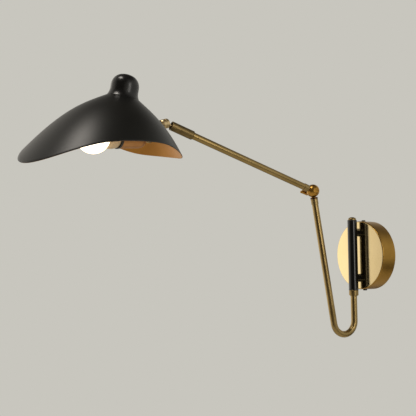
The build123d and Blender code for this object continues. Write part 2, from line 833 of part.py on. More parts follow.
with BuildPart() as shade:
    add(dome_solid)
    add(dome_inside, mode=Mode.SUBTRACT)
    with BuildSketch(shade_side):
        with BuildLine():
            rim = Spline(
                (-rear_edge, -rear_edge_drop),
                (-rear_dip, -rear_dip_drop),
                (-heel, -heel_drop),
                (-arch, -arch_drop),
                (cheek, -cheek_drop),
                (jaw, -jaw_drop),
                (lip, -lip_drop),
                (front_edge, -front_edge_drop),
                tangents=((1, -rear_edge_pitch), (1, -front_edge_pitch)),
            )
            rear_line = Line(rim @ 0, (rim @ 0) - (rim % 0) * skirt_radius)
            front_line = Line(rim @ 1, (rim @ 1) + (rim % 1) * skirt_radius)
            below = -2 * skirt_drop
            Polyline(rear_line @ 1, ((rear_line @ 1).X, below), ((front_line @ 1).X, below), front_line @ 1)
        make_face()
    extrude(amount=2 * skirt_radius, both=True, mode=Mode.SUBTRACT)
    with BuildSketch(across(stud_side, stud_run)):
        Circle(stud_radius + bolt_gap)
    extrude(amount=boss_radius, both=True, mode=Mode.SUBTRACT)
    with BuildSketch(across(crown_side, 0)):
        Circle(top_stud_radius + bolt_gap)
    extrude(amount=-crown_drop - 2 * shade_wall, mode=Mode.SUBTRACT)
keep(shade.part, "shade")

# ---- Domed cap on the crown, held by a stud and a nut under the crown
cap_seat = -crown_drop
cap_shoulder = cap_seat + top_cap_height
cap_inner_radius = top_cap_radius - top_cap_wall
with BuildPart() as top_cap:
    with BuildSketch(crown_side):
        section(cap_seat, cap_shoulder, 0, top_cap_radius)
        with BuildLine():
            bowl = EllipticalCenterArc(
                (cap_shoulder, 0), top_cap_dome, top_cap_radius, start_angle=0, arc_size=quarter_turn
            )
            Polyline(bowl @ 1, (cap_shoulder, 0), bowl @ 0)
        make_face()
        with BuildLine():
            foot_top = (cap_seat + top_cap_foot_height, top_cap_radius)
            foot_end = (cap_seat, top_cap_radius + top_cap_foot)
            TangentArc(foot_top, foot_end, tangent=(-1, 0))
            Polyline(foot_end, (cap_seat, top_cap_radius), foot_top)
        make_face()
    revolve(axis=axis_of(crown_side))
    with BuildSketch(crown_side):
        section(cap_seat, cap_shoulder, 0, cap_inner_radius)
        with BuildLine():
            hollow = EllipticalCenterArc(
                (cap_shoulder, 0),
                top_cap_dome - top_cap_wall,
                cap_inner_radius,
                start_angle=0,
                arc_size=quarter_turn,
            )
            Polyline(hollow @ 1, (cap_shoulder, 0), hollow @ 0)
        make_face()
    revolve(axis=axis_of(crown_side), mode=Mode.SUBTRACT)
keep(top_cap.part, "top_cap")

# The stud's end meets the hollow of the cap just below its apex
hollow_rise = (top_cap_dome - top_cap_wall) * sqrt(1 - (top_stud_radius / cap_inner_radius) ** 2)
crown_inside = cap_seat - shade_wall
top_stud_end = crown_inside - top_nut_thickness - top_stud_tail
top_cap_stud = ring(crown_side, top_stud_end, cap_shoulder + hollow_rise, 0, top_stud_radius)
keep(top_cap_stud, "top_cap_stud")
top_nut_bore = top_stud_radius + slip_gap
top_nut_start = crown_inside - top_nut_thickness
top_cap_nut = hex_nut(crown_side, top_nut_start, top_nut_thickness, top_nut_flats, top_nut_bore)
keep(top_cap_nut, "top_cap_nut")

# ---- Boss and wedge that clamp the shade's slope square to the stud
boss_start = socket_cup_length + socket_cone_length + end_gap
with BuildPart() as shade_boss:
    with BuildSketch(stud_side):
        section(boss_start, stud_run + boss_radius, stud_radius + turn_gap, boss_radius)
    revolve(axis=axis_of(stud_side))
    add(dome_solid, mode=Mode.SUBTRACT)
keep(shade_boss.part, "shade_boss")

with BuildPart() as inner_spacer:
    with BuildSketch(stud_side):
        section(stud_run - spacer_radius, spacer_end, stud_radius + turn_gap, spacer_radius)
    revolve(axis=axis_of(stud_side))
    add(dome_inside, mode=Mode.INTERSECT)
keep(inner_spacer.part, "inner_spacer")

# ---- Bracket: a strap from the stud down to the lampholder's nipple, bent between the two
stud_down = shade_left.cross(stud_dir)
bulb_down = shade_left.cross(bulb_dir)
strap_seat = ball_centre + stud_dir * spacer_end
strap_bend = strap_seat + stud_down * bracket_bend_drop
strap_back = (strap_bend - holder_front).dot(bulb_dir)
strap_foot = holder_front + bulb_dir * strap_back + bulb_down * bracket_foot
strap_corners = [strap_seat - stud_down * bracket_top, strap_bend, strap_foot]
with BuildPart() as lampholder_bracket:
    with BuildSketch(shade_side):
        with BuildLine():
            Polyline(*[shade_side.to_local_coords(corner) for corner in strap_corners])
            offset(amount=bracket_thickness, side=Side.LEFT)
        make_face()
    extrude(amount=bracket_width / 2, both=True)
    with BuildSketch(across(stud_side, spacer_end)):
        Circle(stud_radius + bolt_gap)
    extrude(amount=2 * bracket_thickness, mode=Mode.SUBTRACT)
    with BuildSketch(across(bulb_side, strap_back)):
        Circle(nipple_radius + bolt_gap)
    extrude(amount=bracket_thickness, mode=Mode.SUBTRACT)
keep(lampholder_bracket.part, "lampholder_bracket")

washer_face = spacer_end + bracket_thickness + end_gap
nut_face = washer_face + stud_washer_thickness
shade_nut_washer = ring(stud_side, washer_face, nut_face, stud_radius + slip_gap, stud_washer_radius)
keep(shade_nut_washer, "shade_nut_washer")
shade_nut = hex_nut(stud_side, nut_face, stud_nut_thickness, stud_nut_flats, stud_radius + slip_gap)
keep(shade_nut, "shade_nut")

# ---- Lampholder: nipple, two nuts, cap, body and front ring
nipple_bore = nipple_radius + slip_gap
cap_back = -holder_length
nipple_back = strap_back - holder_nut_thickness - holder_nipple_tail
holder_nipple = ring(
    bulb_side, nipple_back, cap_back + holder_thread_depth, nipple_bore_radius, nipple_radius
)
keep(holder_nipple, "holder_nipple")

with BuildPart() as holder_nuts:
    for nut_start in (strap_back - holder_nut_thickness, strap_back + bracket_thickness):
        add(hex_nut(bulb_side, nut_start, holder_nut_thickness, holder_nut_flats, nipple_bore))
keep(holder_nuts.part, "holder_nuts")

cap_front = cap_back + holder_cap_length
with BuildPart() as lampholder_cap:
    with BuildSketch(bulb_side):
        section(cap_back, cap_front, 0, holder_cap_top_radius)
        section(cap_back + holder_cap_shoulder, cap_front, 0, holder_radius)
        with BuildLine():
            rise = holder_radius - holder_cap_top_radius
            corner = (cap_back + holder_cap_shoulder, holder_cap_top_radius)
            turn = EllipticalCenterArc(
                corner, holder_cap_shoulder, rise, start_angle=quarter_turn, arc_size=quarter_turn
            )
            Polyline(turn @ 1, corner, turn @ 0)
        make_face()
    revolve(axis=axis_of(bulb_side))
    offset(amount=-holder_wall, openings=lampholder_cap.faces().sort_by(axis_of(bulb_side))[-1])
    with BuildSketch(bulb_side):
        section(cap_back, cap_back + holder_thread_depth, 0, holder_cap_top_radius)
    revolve(axis=axis_of(bulb_side))
    with BuildSketch(across(bulb_side, cap_back)):
        Circle(nipple_bore)
    extrude(amount=holder_thread_depth, mode=Mode.SUBTRACT)
keep(lampholder_cap.part, "lampholder_cap")

body_front = -holder_ring_lip - slip_gap
with BuildPart() as lampholder_body:
    with BuildSketch(bulb_side):
        section(cap_front, cap_front + holder_floor, 0, holder_radius)
        section(cap_front, body_front, bulb_cap_radius + bulb_play, holder_radius)
    revolve(axis=axis_of(bulb_side))
    with BuildSketch(across(bulb_side, cap_front)):
        with GridLocations(2 * terminal_hole_offset, 0, 2, 1):
            Circle(terminal_hole_radius)
    extrude(amount=holder_floor, mode=Mode.SUBTRACT)
keep(lampholder_body.part, "lampholder_body")

with BuildPart() as lampholder_ring:
    with BuildSketch(bulb_side):
        section(-holder_ring_length, 0, holder_radius + slip_gap, holder_ring_radius)
        section(-holder_ring_lip, 0, housing_start_radius + bolt_gap, holder_ring_radius)
    revolve(axis=axis_of(bulb_side))
keep(lampholder_ring.part, "lampholder_ring")

contact_face = -bulb_cap_length - bulb_contact_thickness - end_gap
lampholder_contact = ring(bulb_side, cap_front + holder_floor, contact_face, 0, contact_radius)
keep(lampholder_contact, "lampholder_contact")

# ---- Bulb: screw cap with its tip, housing and frosted globe
bulb_cap = ring(bulb_side, -bulb_cap_length, housing_start, 0, bulb_cap_radius)
keep(bulb_cap, "bulb_cap")
bulb_tip_start = -bulb_cap_length - bulb_contact_thickness
bulb_contact = ring(bulb_side, bulb_tip_start, -bulb_cap_length, 0, bulb_contact_radius)
keep(bulb_contact, "bulb_contact")

# The housing ends on the circle where the globe is cut off
neck_radius = sqrt(globe_radius**2 - (globe_ahead - housing_end) ** 2)
with BuildPart() as bulb_housing:
    with BuildSketch(bulb_side):
        with BuildLine():
            flank = Spline(
                (housing_start, housing_start_radius),
                (housing_start + housing_shoulder, neck_radius),
                (housing_end, neck_radius),
                tangents=((1, 1), (1, 0)),
            )
            Polyline(flank @ 1, (housing_end, 0), (housing_start, 0), flank @ 0)
        make_face()
    revolve(axis=axis_of(bulb_side))
keep(bulb_housing.part, "bulb_housing")

with BuildPart() as bulb_globe:
    with Locations(across(bulb_side, globe_ahead).origin):
        Sphere(globe_radius)
        Sphere(globe_radius - globe_wall, mode=Mode.SUBTRACT)
    split(bisect_by=across(bulb_side, housing_end), keep=Keep.TOP)
keep(bulb_globe.part, "bulb_globe")
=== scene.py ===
import bmesh
import bpy
import json
import math
import numpy as np
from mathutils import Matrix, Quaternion, Vector


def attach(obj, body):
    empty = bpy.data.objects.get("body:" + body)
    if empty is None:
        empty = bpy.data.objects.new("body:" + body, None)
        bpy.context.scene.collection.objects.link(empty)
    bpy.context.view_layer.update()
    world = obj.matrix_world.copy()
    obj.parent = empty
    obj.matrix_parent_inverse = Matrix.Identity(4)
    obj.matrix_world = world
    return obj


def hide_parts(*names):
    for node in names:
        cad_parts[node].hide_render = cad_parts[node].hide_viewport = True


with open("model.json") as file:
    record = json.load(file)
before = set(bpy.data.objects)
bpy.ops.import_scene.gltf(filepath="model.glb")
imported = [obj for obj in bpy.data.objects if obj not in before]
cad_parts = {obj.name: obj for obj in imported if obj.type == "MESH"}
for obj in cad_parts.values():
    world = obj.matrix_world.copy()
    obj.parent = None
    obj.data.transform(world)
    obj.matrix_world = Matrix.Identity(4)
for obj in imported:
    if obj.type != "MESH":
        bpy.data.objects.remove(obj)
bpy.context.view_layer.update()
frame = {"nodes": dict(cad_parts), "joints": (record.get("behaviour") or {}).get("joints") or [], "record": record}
joints = {joint["name"]: joint for joint in frame["joints"]}
slotOf = {part["node"]: part["material_slot"] for part in frame["record"]["subparts"]}
bodyOf = {node: body for body, nodes in frame["record"]["behaviour"]["bodies"].items() for node in nodes}
millimetre = 0.001
print("stage: frame loaded,", len(slotOf), "nodes")


def jointPlace(name):
    return Vector(joints[name]["pos_m"])


def jointLine(name):
    return Vector(joints[name]["axis"]).normalized()


def turned(vector, axis, degrees):
    return Quaternion(axis, math.radians(degrees)) @ vector


# Directions that the pieces are set out along, all from the joints
worldUp = Vector((0, 0, 1))
sideways = Vector((1, 0, 0))
outward = Vector((0, -1, 0))
spindle = jointPlace("arm_swing")
elbow = jointPlace("elbow")
ball = jointPlace("ball_tilt")
armLine = jointLine("ball_roll")
studLine = jointLine("shade_pan")
pose = {"shadePan": -35.26, "studSlope": 20, "riserLean": 10, "bulbSlope": 11.3}  # degrees, as the lamp rests
riserLine = turned(worldUp, sideways, pose["riserLean"])
shadeSide = turned(jointLine("ball_tilt"), studLine, pose["shadePan"])
shadeFront = turned(studLine, shadeSide, -pose["studSlope"])
shadeUp = shadeFront.cross(shadeSide)

# The camera stands to the right of the lamp, a little below it: metres, degrees, and millimetres in the lens
cameraSetup = {
    "place": (0.81286, -0.74234, -0.01601), "heading": 62.955, "pitch": 5.435, "lens": 51.11, "sensor": 36,
    "clip": (0.01, 50),
}


def makeCamera():
    heading, pitch = math.radians(cameraSetup["heading"]), math.radians(cameraSetup["pitch"])
    look = Vector((-math.sin(heading) * math.cos(pitch), math.cos(heading) * math.cos(pitch), math.sin(pitch)))
    data = bpy.data.cameras.new("camera")
    data.sensor_width = cameraSetup["sensor"]
    data.lens = cameraSetup["lens"]
    data.clip_start, data.clip_end = cameraSetup["clip"]
    camera = bpy.data.objects.new("camera", data)
    camera.location = cameraSetup["place"]
    camera.rotation_mode = "QUATERNION"
    camera.rotation_quaternion = look.to_track_quat("-Z", "Y")
    bpy.context.scene.collection.objects.link(camera)
    bpy.context.scene.camera = camera


makeCamera()


def linear(colour):  # an sRGB hex colour with the sRGB curve undone
    channels = [int(colour[i:i + 2], 16) / 255 for i in (1, 3, 5)]
    return tuple(c / 12.92 if c <= 0.04045 else ((c + 0.055) / 1.055) ** 2.4 for c in channels) + (1.0,)


def addNode(tree, kind, settings=None, links=None):
    node = tree.nodes.new(kind)
    for name, value in (settings or {}).items():
        if name == "stops":
            for element, (place, colour) in zip(node.color_ramp.elements, value):
                element.position, element.color = place, linear(colour)
        elif isinstance(name, str) and hasattr(node, name):
            setattr(node, name, value)
        else:
            node.inputs[name].default_value = value
    for name, source in (links or {}).items():
        tree.links.new(source, node.inputs[name])
    return node


def newMaterial(name, shader):
    material = bpy.data.materials.new(name)
    material.use_nodes = True
    tree = material.node_tree
    principled = tree.nodes["Principled BSDF"]
    for socket, value in shader.items():
        principled.inputs[socket].default_value = value
    return material, tree, principled


def grainScale(size):  # noise cycles per metre for a grain of this many millimetres
    return 1 / (size * millimetre)


# the part of a noise's range that each use of it spans, and the relief's depth in millimetres
noiseSpan = {"tone": (0.3, 0.7), "marks": (0.25, 0.75), "grain": (0.3, 0.7)}
reliefDepth = {"marks": 0.2, "grain": 0.1}


def driftingTone(tree, principled, place, finish, noise):  # two tones that pass into each other in large patches
    patches = addNode(
        tree, "ShaderNodeTexNoise", {"Scale": grainScale(finish["patch"]), **noise},
        {"Vector": place.outputs["Object"]},
    )
    tone = addNode(
        tree, "ShaderNodeValToRGB", {"stops": list(zip(noiseSpan["tone"], (finish["dark"], finish["light"])))},
        {"Fac": patches.outputs["Fac"]},
    )
    tree.links.new(tone.outputs["Color"], principled.inputs["Base Color"])


def unevenGloss(tree, principled, pattern, finish, use):  # a pattern that changes the gloss and stands up a little
    low, high = noiseSpan[use]
    gloss = addNode(
        tree, "ShaderNodeMapRange",
        {"From Min": low, "From Max": high,
         "To Min": finish["roughness"] - finish["spread"], "To Max": finish["roughness"] + finish["spread"]},
        {"Value": pattern.outputs["Fac"]},
    )
    tree.links.new(gloss.outputs["Result"], principled.inputs["Roughness"])
    bump = addNode(
        tree, "ShaderNodeBump", {"Strength": finish["bump"], "Distance": reliefDepth[use] * millimetre},
        {"Height": pattern.outputs["Fac"]},
    )
    tree.links.new(bump.outputs["Normal"], principled.inputs["Normal"])


def metalFinish(name, finish):
    # brush or tool marks over a drifting tone
    # real marks are 0.1 mm wide or less, too fine to show, so they're drawn coarser
    material, tree, principled = newMaterial(name, {"Metallic": 1.0, "Roughness": finish["roughness"]})
    place = addNode(tree, "ShaderNodeTexCoord")
    driftingTone(tree, principled, place, finish, {"Detail": 3.0, "Roughness": 0.55})
    stretch = addNode(
        tree, "ShaderNodeMapping", {"Scale": tuple(grainScale(size) for size in finish["marks"])},
        {"Vector": place.outputs[finish.get("space", "Object")]},
    )
    lines = addNode(
        tree, "ShaderNodeTexNoise", {"Scale": 1.0, "Detail": 2.0, "Roughness": 0.6},
        {"Vector": stretch.outputs["Vector"]},
    )
    unevenGloss(tree, principled, lines, finish, "marks")
    return material


def paintFinish(name, finish):
    # a coat or a moulded skin: orange peel about a millimetre across in the gloss, and a faint drift in tone
    material, tree, principled = newMaterial(
        name,
        {"Metallic": finish.get("metallic", 0.0), "Roughness": finish["roughness"], "IOR": finish.get("ior", 1.5),
         "Coat Weight": finish.get("coat", 0.0), "Coat Roughness": 0.1},
    )
    place = addNode(tree, "ShaderNodeTexCoord")
    driftingTone(tree, principled, place, finish, {"Detail": 2.0})
    peel = addNode(
        tree, "ShaderNodeTexNoise", {"Scale": grainScale(finish["grain"]), "Detail": 2.0},
        {"Vector": place.outputs["Object"]},
    )
    unevenGloss(tree, principled, peel, finish, "grain")
    return material


# Each finish by the record's slot; patch, marks and grain are in millimetres
finishes = {
    # rolled brass, buffed to a mirror and lacquered: the face throws back the room, with a faint ripple
    "canopy_brass": metalFinish("polishedBrass", {
        "dark": "#E3CC98", "light": "#E9D2A0", "roughness": 0.13, "spread": 0.02, "patch": 60,
        "marks": (16, 16, 16), "bump": 0.004}),
    # turned brass, browned: dull gold with a soft light
    "arm_brass": metalFinish("brownedBrass", {
        "dark": "#8A744A", "light": "#A58F62", "roughness": 0.38, "spread": 0.04, "patch": 25,
        "marks": (1.5, 1.5, 1.5), "bump": 0.008}),
    # turned brass left bright: warm, sharper highlights
    "bright_brass": metalFinish("turnedBrass", {
        "dark": "#B98A3C", "light": "#D2A455", "roughness": 0.2, "spread": 0.05, "patch": 8,
        "marks": (2.5, 2.5, 2.5), "bump": 0.01}),
    # steel under gloss black stove enamel: one thin clean line of light
    "black_metal": paintFinish("stoveEnamel", {
        "dark": "#060607", "light": "#0B0B0C", "roughness": 0.16, "spread": 0.03, "patch": 20, "grain": 0.8,
        "bump": 0.03}),
    # yellow passivated zinc on pressed steel: straw gold with a faint drift to grey
    "zinc_steel": metalFinish("passivatedZinc", {
        "dark": "#94835A", "light": "#AD9A6C", "roughness": 0.36, "spread": 0.08, "patch": 5,
        "marks": (8, 8, 8), "bump": 0.04}),
    # oil-blackened steel: nearly black, with a brown glint on the screw heads
    "blackened_screw": metalFinish("blackenedSteel", {
        "dark": "#2A2622", "light": "#3B352E", "roughness": 0.38, "spread": 0.06, "patch": 3,
        "marks": (2.5, 2.5, 2.5), "bump": 0.03}),
    # black nylon, moulded: dull, with no sharp light in it
    "nylon": paintFinish("mouldedNylon", {
        "dark": "#121212", "light": "#191918", "roughness": 0.5, "spread": 0.06, "patch": 5, "grain": 0.5,
        "bump": 0.1, "ior": 1.53}),
    # vulcanised fibre: dark red-brown pressed sheet, with no shine
    "fibre": paintFinish("vulcanisedFibre", {
        "dark": "#2B1A12", "light": "#3A241A", "roughness": 0.7, "spread": 0.1, "patch": 3, "grain": 0.4,
        "bump": 0.3}),
    # urea moulding of the terminal block: an even chalky white
    "block_plastic": paintFinish("ureaMoulding", {
        "dark": "#D2CFC4", "light": "#DEDBD1", "roughness": 0.45, "spread": 0.05, "patch": 8, "grain": 0.5,
        "bump": 0.1}),
    # sheet metal under satin black enamel: a broad soft grey highlight
    "shade_paint": paintFinish("satinEnamel", {
        "dark": "#080908", "light": "#0D0E0C", "roughness": 0.38, "spread": 0.03, "patch": 45, "grain": 1.1,
        "bump": 0.04}),
    # the cap's harder gloss black: a tall sharp highlight
    "cap_paint": paintFinish("glossEnamel", {
        "dark": "#090909", "light": "#0E0E0F", "roughness": 0.27, "spread": 0.02, "patch": 30, "grain": 1.2,
        "bump": 0.01}),
    # turned aluminium wedge: pale grey with a soft sheen
    "spacer_aluminium": metalFinish("turnedAluminium", {
        "dark": "#A9ABAD", "light": "#C2C4C5", "roughness": 0.3, "spread": 0.06, "patch": 5,
        "marks": (2, 2, 2), "bump": 0.03}),
    # bronze coat over the lampholder's moulding: a dull warm sheen
    "holder_bronze": metalFinish("bronzeCoat", {
        "dark": "#C48C58", "light": "#D09A64", "roughness": 0.45, "spread": 0.05, "patch": 12,
        "marks": (3, 3, 3), "bump": 0.015}),
    # black phenolic resin: hard, faintly glossy
    "holder_plastic": paintFinish("phenolicResin", {
        "dark": "#141210", "light": "#1C1A17", "roughness": 0.34, "spread": 0.05, "patch": 10, "grain": 0.7,
        "bump": 0.1, "ior": 1.6}),
    # rolled aluminium screw cap of the bulb: bright and slightly streaked
    "bulb_cap_metal": metalFinish("rolledAluminium", {
        "dark": "#B5B6B4", "light": "#CDCDCA", "roughness": 0.25, "spread": 0.05, "patch": 5,
        "marks": (3, 3, 3), "bump": 0.03}),
    # glazed warm-white body of the bulb, drawn beige: the lamp's warm light is painted into its colour
    "housing_plastic": paintFinish("glazedHousing", {
        "dark": "#C9AE86", "light": "#D6BD97", "roughness": 0.3, "spread": 0.04, "patch": 12, "grain": 0.9,
        "bump": 0.05, "coat": 0.3}),
}


def opalFinish():
    # opal polycarbonate, lit from inside: an even warm-white glow that falls off at the edge
    material, tree, principled = newMaterial(
        "litOpal", {"Roughness": 0.4, "IOR": 1.58, "Base Color": linear("#FBF3E0"), "Emission Strength": 3.2}
    )
    edge = addNode(tree, "ShaderNodeLayerWeight", {"Blend": 0.35})
    glow = addNode(
        tree, "ShaderNodeValToRGB", {"stops": [(0.0, "#FFF6E2"), (1.0, "#FFD79A")]}, {"Fac": edge.outputs["Facing"]}
    )
    tree.links.new(glow.outputs["Color"], principled.inputs["Emission Color"])
    return material


finishes["globe_plastic"] = opalFinish()
# gold-bronze lacquer inside the shade: the bulb turns it orange
insideLacquer = paintFinish("bronzeLacquer", {
    "dark": "#A77331", "light": "#B47F38", "roughness": 0.48, "spread": 0.05, "patch": 30, "grain": 1.0,
    "bump": 0.08, "metallic": 0.8})
# brass tube, drawn lengthwise and browned: long faint lines, bright side lines and a dark middle
tubeBrass = metalFinish("brownedTubeBrass", {
    "dark": "#937C4E", "light": "#A89060", "roughness": 0.31, "spread": 0.03, "patch": 40,
    "marks": (1.2, 60, 60), "bump": 0.004, "space": "UV"})
# the elbow's cast brass keeps a warmer gold than the tubes
castBrass = metalFinish("castBrass", {
    "dark": "#A87C36", "light": "#C9994A", "roughness": 0.34, "spread": 0.05, "patch": 6,
    "marks": (3, 3, 3), "bump": 0.012})
# the ball joint: brass drawn paler than the rest, a painted highlight, with a soft light
paleLitBallBrass = metalFinish("paleLitBallBrass", {
    "dark": "#D2B88A", "light": "#E2CC9E", "roughness": 0.38, "spread": 0.04, "patch": 5,
    "marks": (2, 2, 2), "bump": 0.01})
# the sleeve at the arm's end: the arm's brass drawn darker, painted shade that dulls its highlight
shadedSleeveBrass = metalFinish("shadedSleeveBrass", {
    "dark": "#6F5E3D", "light": "#85714B", "roughness": 0.42, "spread": 0.04, "patch": 12,
    "marks": (1.5, 1.5, 1.5), "bump": 0.01})
# the ring under the elbow: brown-black steel, its near-black tone painted shade for the dark band under the ball
shadedElbowRing = metalFinish("shadedElbowRing", {
    "dark": "#4A3020", "light": "#5C3E2A", "roughness": 0.4, "spread": 0.05, "patch": 4,
    "marks": (2, 2, 2), "bump": 0.02})
# the canopy's rim is brushed round; its browner, darker tone than the face is painted shade, the dim wall that it
# mirrors
shadedRimBrass = metalFinish("brushedShadedRimBrass", {
    "dark": "#9E7937", "light": "#B18943", "roughness": 0.34, "spread": 0.06, "patch": 30,
    "marks": (25, 1.1, 25), "bump": 0.012})
print("stage: finishes made")


# a new mesh is placed smooth but for its sharp edges, rides on its node's body and stands for the nodes
def finishPiece(mesh, name, nodes, material=None, sharpAngle=32):
    node = nodes[0]
    mesh.polygons.foreach_set("use_smooth", [True] * len(mesh.polygons))
    mesh.set_sharp_from_angle(angle=math.radians(sharpAngle))
    piece = bpy.data.objects.new(name, mesh)
    bpy.context.scene.collection.objects.link(piece)
    if not mesh.materials:
        mesh.materials.append(material or finishes[slotOf[node]])
    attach(piece, bodyOf[node])
    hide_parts(*nodes)
    return piece


def meshFrom(work, name):
    mesh = bpy.data.meshes.new(name)
    work.to_mesh(mesh)
    work.free()
    return mesh


nearlyParallel = 0.1  # how little may be left of a direction before another is taken
onAxis = 1e-6  # a radius in millimetres that counts as none


def axisFrame(axis):  # two directions square to an axis
    first = sideways - axis * sideways.dot(axis)
    if first.length < nearlyParallel:
        first = worldUp - axis * worldUp.dot(axis)
    first.normalize()
    return first, axis.cross(first)


def spokesRound(first, second, segments):  # unit vectors all the way round, from the first towards the second
    angles = [2 * math.pi * step / segments for step in range(segments)]
    return [first * math.cos(angle) + second * math.sin(angle) for angle in angles]


# the most of a side that a corner may take, the least cut in millimetres, and the angle too flat to ease
easedCorner = {"share": 0.45, "least": 0.01, "flat": 165, "steps": 3}


def rounded(outline, radius):  # corners eased by this many millimetres, or what their sides allow
    share, steps = easedCorner["share"], easedCorner["steps"]
    flat = math.radians(easedCorner["flat"])
    points = []
    for i, corner in enumerate(outline):
        here = Vector(corner)
        before, after = Vector(outline[i - 1]) - here, Vector(outline[(i + 1) % len(outline)]) - here
        cut = min(radius, before.length * share, after.length * share)
        if abs(here.y) < onAxis or cut < easedCorner["least"] or before.angle(after) > flat:
            points.append(tuple(here))
            continue
        start, end = here + before.normalized() * cut, here + after.normalized() * cut
        for step in range(steps + 1):
            t = step / steps
            points.append(tuple(start * (1 - t) ** 2 + here * 2 * t * (1 - t) + end * t ** 2))
    return points


# turns a closed outline of (along, radius) in millimetres round an axis, unwrapped in metres round and along
def lathe(name, nodes, outline, origin, axis, segments=64, corner=0, material=None):
    outline = rounded(outline, corner) if corner else outline
    spokes = spokesRound(*axisFrame(axis), segments)
    widest = max(radius for _, radius in outline) * millimetre
    work = bmesh.new()
    unwrap = work.loops.layers.uv.new("unwrap")
    rings, lengths = [], [0.0]
    for along, radius in outline:
        centre = origin + axis * along * millimetre
        if radius < onAxis:
            rings.append([work.verts.new(centre)])
        else:
            rings.append([work.verts.new(centre + spoke * radius * millimetre) for spoke in spokes])
    for here, there in zip(outline, outline[1:] + outline[:1]):
        lengths.append(lengths[-1] + math.dist(here, there) * millimetre)
    for i, low in enumerate(rings):
        high = rings[(i + 1) % len(rings)]
        if len(low) == 1 and len(high) == 1:
            continue
        for step in range(segments):
            corners = [(low, step, i), (low, step + 1, i), (high, step + 1, i + 1), (high, step, i + 1)]
            if len(low) == 1:
                corners.pop(0)
            if len(high) == 1:
                corners.pop()
            face = work.faces.new([ring[place % len(ring)] for ring, place, _ in corners])
            for loop, (_, place, row) in zip(face.loops, corners):
                loop[unwrap].uv = (2 * math.pi * place / segments * widest, lengths[row])
    bmesh.ops.recalc_face_normals(work, faces=work.faces)
    return finishPiece(meshFrom(work, name), name, nodes, material)


easedEdge = {"weld": 1e-6, "flat": 0.5, "sharp": 35, "steps": 3}  # metres, then degrees


# a CAD solid's copy with its edges eased, in millimetres, for the small machined pieces
def refined(node, width, material=None):
    work = bmesh.new()
    work.from_mesh(frame["nodes"][node].data)
    flat, sharp = math.radians(easedEdge["flat"]), math.radians(easedEdge["sharp"])
    bmesh.ops.remove_doubles(work, verts=work.verts, dist=easedEdge["weld"])
    bmesh.ops.dissolve_limit(work, angle_limit=flat, verts=work.verts, edges=work.edges)
    mesh = meshFrom(work, node + "Eased")
    mesh.materials.clear()
    piece = finishPiece(mesh, node + "_eased", [node], material)
    bevel = piece.modifiers.new("ease", "BEVEL")
    bevel.width = width * millimetre
    bevel.segments = easedEdge["steps"]
    bevel.limit_method = "ANGLE"
    bevel.angle_limit = sharp
    bevel.harden_normals = True


# both tubes' section, and how each runs, in millimetres
tube = {"radius": 5.5, "segments": 56}
jTube = {"top": 61.7, "bendHeight": -113.5, "bendRadius": 22.5, "end": 14, "topSteps": 8, "bendSteps": 48,
         "riseSteps": 10}
armTube = {"start": 14, "end": 268, "steps": 10}


def sweepTube(name, node, route):  # a closed round bar along a route in the plane X = 0
    radius, segments = tube["radius"] * millimetre, tube["segments"]
    work = bmesh.new()
    unwrap = work.loops.layers.uv.new("unwrap")
    rings, lengths = [], [0.0]
    for i, here in enumerate(route):
        before, after = route[max(i - 1, 0)], route[min(i + 1, len(route) - 1)]
        spokes = spokesRound(sideways, (after - before).normalized().cross(sideways), segments)
        rings.append([work.verts.new(here + spoke * radius) for spoke in spokes])
        lengths.append(lengths[-1] + (after - here).length)
    for row, (low, high) in enumerate(zip(rings, rings[1:])):
        for step in range(segments):
            corners = [(low, step, row), (low, step + 1, row), (high, step + 1, row + 1), (high, step, row + 1)]
            face = work.faces.new([ring[place % segments] for ring, place, _ in corners])
            for loop, (_, place, at) in zip(face.loops, corners):
                loop[unwrap].uv = (2 * math.pi * place / segments * radius, lengths[at])
    work.faces.new(rings[0])
    work.faces.new(rings[-1])
    bmesh.ops.recalc_face_normals(work, faces=work.faces)
    finishPiece(meshFrom(work, name), name, [node], tubeBrass)


def jRoute():
    top = Vector((0, spindle.y, jTube["top"] * millimetre))
    low = Vector((0, spindle.y, jTube["bendHeight"] * millimetre))
    radius = jTube["bendRadius"] * millimetre
    centre = low + outward * radius
    sweep = math.pi - math.radians(pose["riserLean"])
    bend = []
    for step in range(jTube["bendSteps"] + 1):
        angle = sweep * step / jTube["bendSteps"]
        bend.append(centre - outward * radius * math.cos(angle) - worldUp * radius * math.sin(angle))
    end = elbow - riserLine * jTube["end"] * millimetre
    straight = [top.lerp(low, step / jTube["topSteps"]) for step in range(jTube["topSteps"])]
    rise = [bend[-1].lerp(end, step / jTube["riseSteps"]) for step in range(1, jTube["riseSteps"] + 1)]
    return straight + bend + rise


def armRoute():
    start, end = [elbow + armLine * armTube[key] * millimetre for key in ("start", "end")]
    return [start.lerp(end, step / armTube["steps"]) for step in range(armTube["steps"] + 1)]


sweepTube("j_tube_swept", "j_tube", jRoute())
sweepTube("arm_tube_drawn", "arm_tube", armRoute())
print("stage: tubes")

# millimetres; faceTilt is the least share of a normal that looks outward on the polished face
canopy = {"radius": 60, "depth": 27.5, "wall": 1.5, "edge": 2.2, "edgeSteps": 12, "segments": 192, "faceTilt": 0.93}


def makeCanopy():
    radius, depth, wall, edge = canopy["radius"], canopy["depth"], canopy["wall"], canopy["edge"]
    outline = [(0, radius - wall), (0, radius)]
    for step in range(canopy["edgeSteps"] + 1):
        angle = math.pi / 2 * step / canopy["edgeSteps"]
        outline.append((depth - edge + edge * math.sin(angle), radius - edge + edge * math.cos(angle)))
    outline += [(depth, 0), (depth - wall, 0), (depth - wall, radius - wall)]
    piece = lathe("canopy_spun", ["canopy"], outline, Vector((0, 0, 0)), outward, segments=canopy["segments"])
    piece.data.materials.append(shadedRimBrass)
    # faces that don't look straight along the axis, the rim, its rounded edge and the inner wall, take the darker
    # brass with its painted shade
    for face in piece.data.polygons:
        if abs(face.normal.y) < canopy["faceTilt"]:
            face.material_index = 1


makeCanopy()
print("stage: canopy")

